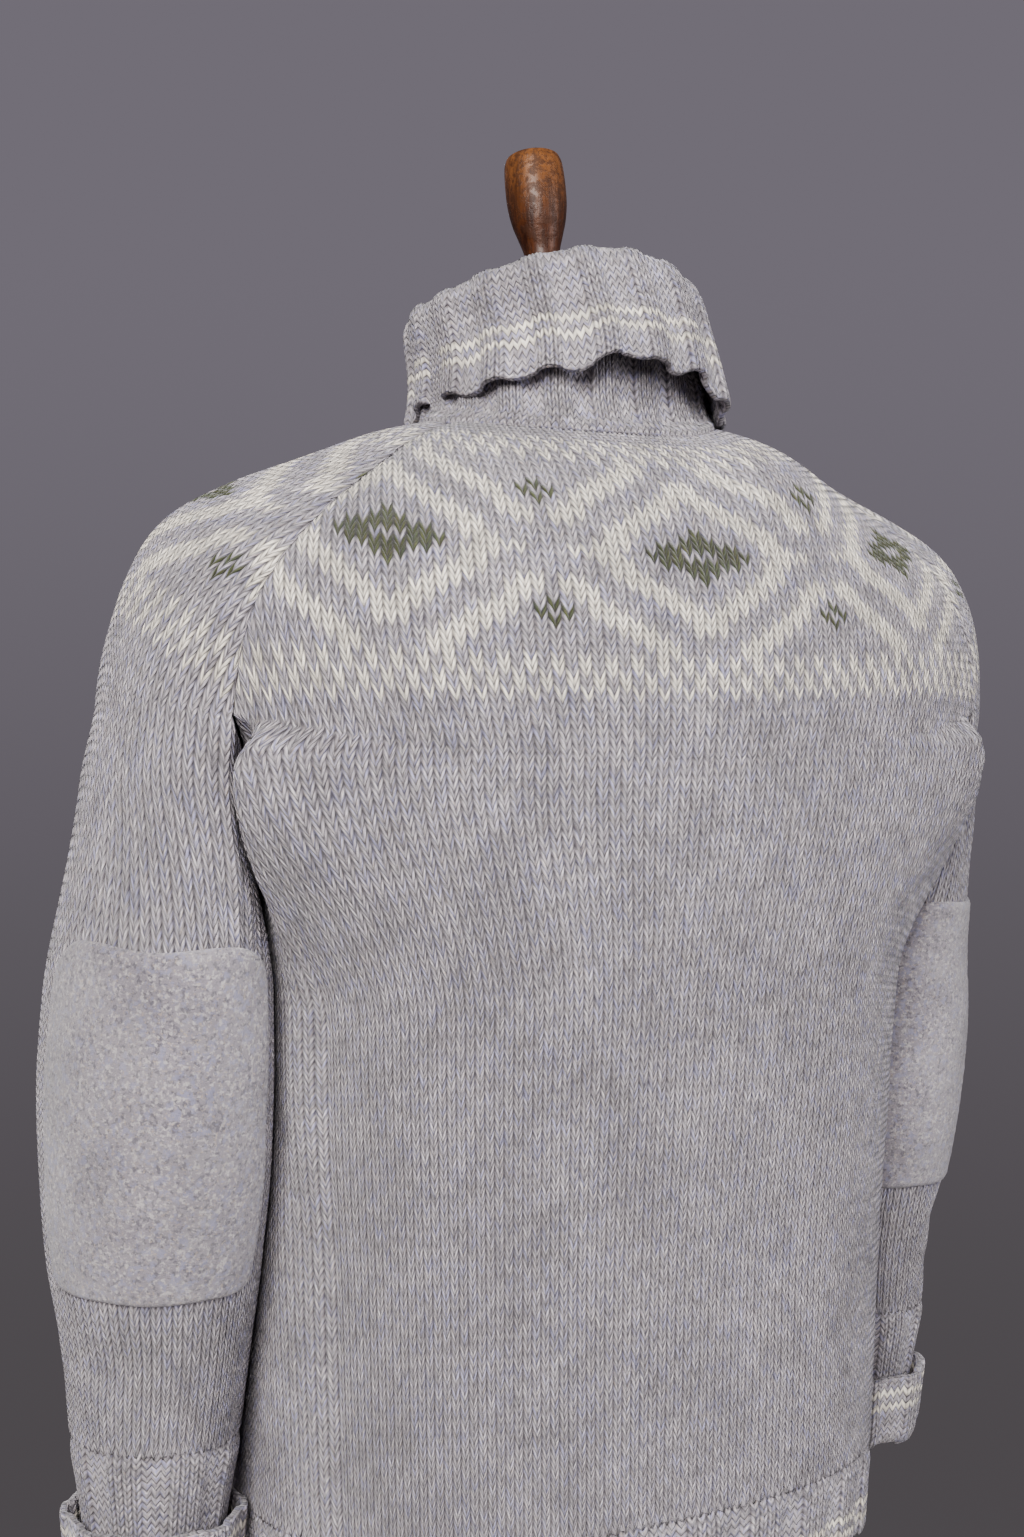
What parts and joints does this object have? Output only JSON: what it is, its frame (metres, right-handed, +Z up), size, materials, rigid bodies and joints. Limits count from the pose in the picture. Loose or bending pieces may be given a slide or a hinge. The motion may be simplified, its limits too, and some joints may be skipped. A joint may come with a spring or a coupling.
{
  "type": "fair isle turtleneck sweater on a dress form",
  "caption": "Chunky heather-grey raglan sweater with a turned-down roll collar, patterned yoke, elbow patches and turned-back cuffs, shown on a limbless dress form with a foot.",
  "frame": {"origin": "centre of the foot's underside, on the floor", "axes": "+Z up along the pole, +X towards the wearer's left, +Y towards the back of the sweater"},
  "size_m": [0.6104, 0.38, 1.6068],
  "materials": {
    "heather_grey_wool": "matte wool",
    "ribbed_grey_wool": "matte wool",
    "felted_grey_wool": "matte felt",
    "linen_cover": "matte linen",
    "varnished_wood": "varnished",
    "dark_iron": "satin"
  },
  "bodies": {
    "root": {"back": "heather_grey_wool", "front": "heather_grey_wool", "sleeve_left": "heather_grey_wool", "sleeve_right": "heather_grey_wool", "hem_rib": "ribbed_grey_wool", "collar": "ribbed_grey_wool", "cuff_left": "ribbed_grey_wool", "cuff_right": "ribbed_grey_wool", "elbow_patch_left": "felted_grey_wool", "elbow_patch_right": "felted_grey_wool", "form_torso": "linen_cover", "neck_cap": "varnished_wood", "finial": "varnished_wood", "pole": "dark_iron", "foot": "dark_iron"}
  },
  "joints": []
}
